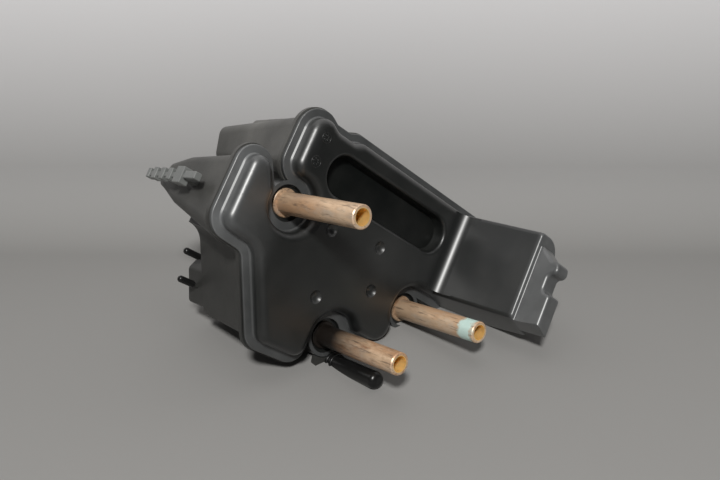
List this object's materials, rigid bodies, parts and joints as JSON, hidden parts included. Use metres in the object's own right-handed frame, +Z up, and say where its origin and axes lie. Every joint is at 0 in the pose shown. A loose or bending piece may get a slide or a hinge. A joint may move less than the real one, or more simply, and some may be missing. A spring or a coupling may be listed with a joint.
{
  "type": "vacuum reservoir",
  "caption": "Moulded plastic vacuum reservoir with a welded flange, a long pocket, a deep side arm, metal spacer sleeves and a capped outlet.",
  "frame": {"origin": "on the first spacer sleeve's axis, in the front face of the weld flange", "axes": "+X along the straight top edge towards the arm, +Z up beside it, -Y along the sleeves towards their free ends"},
  "size_m": [0.1979, 0.169, 0.1322],
  "materials": {
    "cover_plastic": "satin black, lightly grained",
    "shell_plastic": "dull black, dusty",
    "sleeve_metal": "tarnished, dull",
    "cap_rubber": "smooth black"
  },
  "bodies": {
    "root": {"front_cover": "cover_plastic", "rear_shell": "shell_plastic", "spacer_sleeve_a": "sleeve_metal", "spacer_sleeve_b": "sleeve_metal", "spacer_sleeve_c": "sleeve_metal", "outlet_cap": "cap_rubber", "port_cap_upper": "cap_rubber", "port_cap_lower": "cap_rubber", "cable_clip": "shell_plastic"}
  },
  "joints": []
}
